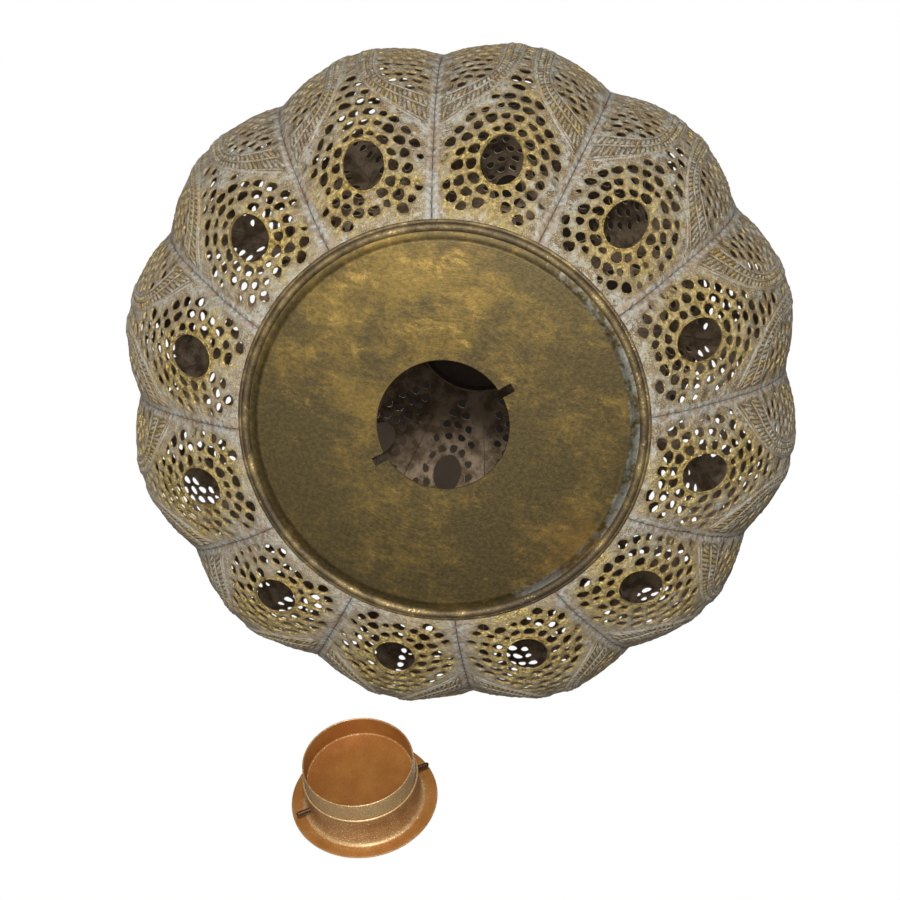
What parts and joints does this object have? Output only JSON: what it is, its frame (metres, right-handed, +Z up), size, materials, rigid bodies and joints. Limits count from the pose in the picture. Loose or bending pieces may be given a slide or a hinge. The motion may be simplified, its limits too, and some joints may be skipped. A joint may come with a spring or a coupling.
{
  "type": "hanging lantern",
  "caption": "Melon-shaped hanging lantern of pierced sheet-brass panels with a round base plate and a twist-in candle tray.",
  "frame": {"origin": "where a hook bears: the underside of the hanging loop's top bar, on the lantern's axis", "axes": "+Z up along the lantern's axis as it hangs, base plate facing -Z, the removed tray waits on the -Y side, +X along the loop"},
  "size_m": [0.4, 0.4204, 0.4043],
  "materials": {
    "pierced_brass": "aged satin, pale patina with rubbed edges",
    "plate_brass": "aged satin, brushed in rings",
    "rim_brass": "aged satin, bright where rubbed",
    "fitting_brass": "aged satin",
    "tray_paint": "satin copper-gold paint",
    "pin_steel": "dull dark"
  },
  "bodies": {
    "shell": {"gore_01": "pierced_brass", "gore_02": "pierced_brass", "gore_03": "pierced_brass", "gore_04": "pierced_brass", "gore_05": "pierced_brass", "gore_06": "pierced_brass", "gore_07": "pierced_brass", "gore_08": "pierced_brass", "gore_09": "pierced_brass", "gore_10": "pierced_brass", "gore_11": "pierced_brass", "gore_12": "pierced_brass", "base_plate": "plate_brass", "base_rim": "rim_brass", "top_collar": "fitting_brass", "crown_cap": "fitting_brass", "loop_washer": "fitting_brass", "loop_nut": "fitting_brass", "hanging_loop": "fitting_brass"},
    "pan": {"tray_pan": "tray_paint"},
    "locking_ring": {"tray_ring": "tray_paint", "tray_pin_a": "pin_steel", "tray_pin_b": "pin_steel"}
  },
  "joints": [
    {"name": "tray_swing", "type": "hinge", "parent": "shell", "child": "pan", "pos_m": [0, -0.1187, -0.26575], "axis": [0.992, -0.061, 0.1103], "range_deg": [0, 121.9]},
    {"name": "tray_turn", "type": "hinge", "parent": "pan", "child": "locking_ring", "pos_m": [-0.00444, -0.19814, -0.35629], "axis": [0.2191, 0.8319, -0.5098], "range_deg": [-75.5, 4.5]}
  ]
}
